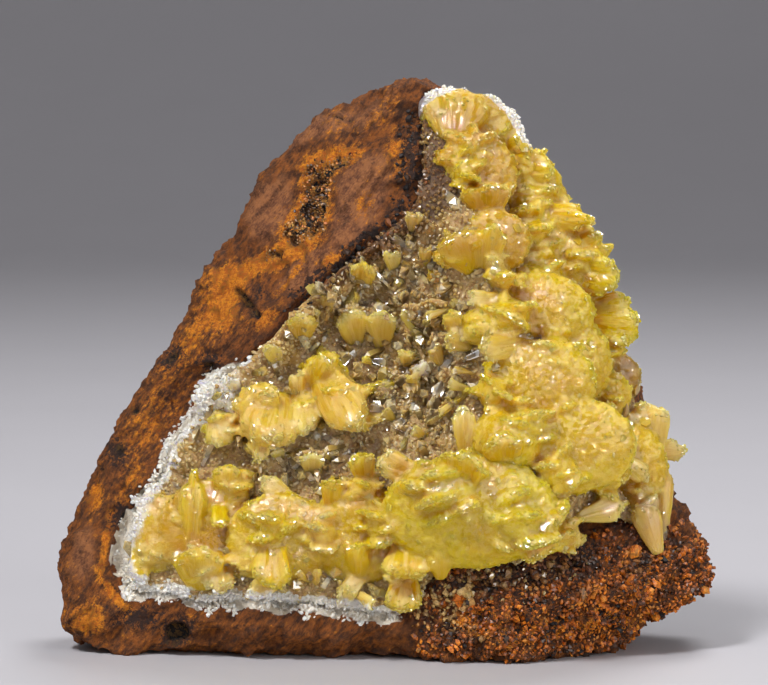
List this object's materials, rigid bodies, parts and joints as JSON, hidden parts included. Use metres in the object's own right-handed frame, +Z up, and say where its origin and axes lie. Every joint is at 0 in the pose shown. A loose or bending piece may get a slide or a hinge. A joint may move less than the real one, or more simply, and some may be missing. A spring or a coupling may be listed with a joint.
{
  "type": "adamite specimen",
  "caption": "Small-cabinet mineral specimen: a wedge of rusty limonite with an open hollow lined by pale druse and overgrown with yellow-green sheaves of adamite.",
  "frame": {"origin": "middle of the bounding box, on the surface the specimen stands on", "axes": "+Z up, +X to the right as the hollow is faced, +Y from the open hollow to the broken back"},
  "size_m": [0.08, 0.0416, 0.0712],
  "materials": {
    "limonite": "dull earthy iron rock, rust brown with orange and dark purple-brown areas",
    "druse": "sparkling grey-tan druse of tiny clear crystals with a chalky white margin",
    "adamite": "glassy translucent yellow to yellow-green crystal sheaves",
    "adamite_centre": "glassy translucent pale yellow crystal sheaves"
  },
  "bodies": {
    "root": {"limonite_matrix": "limonite", "druse_lining": "druse", "adamite_main_mass": "adamite", "adamite_centre_cluster": "adamite_centre"}
  },
  "joints": []
}
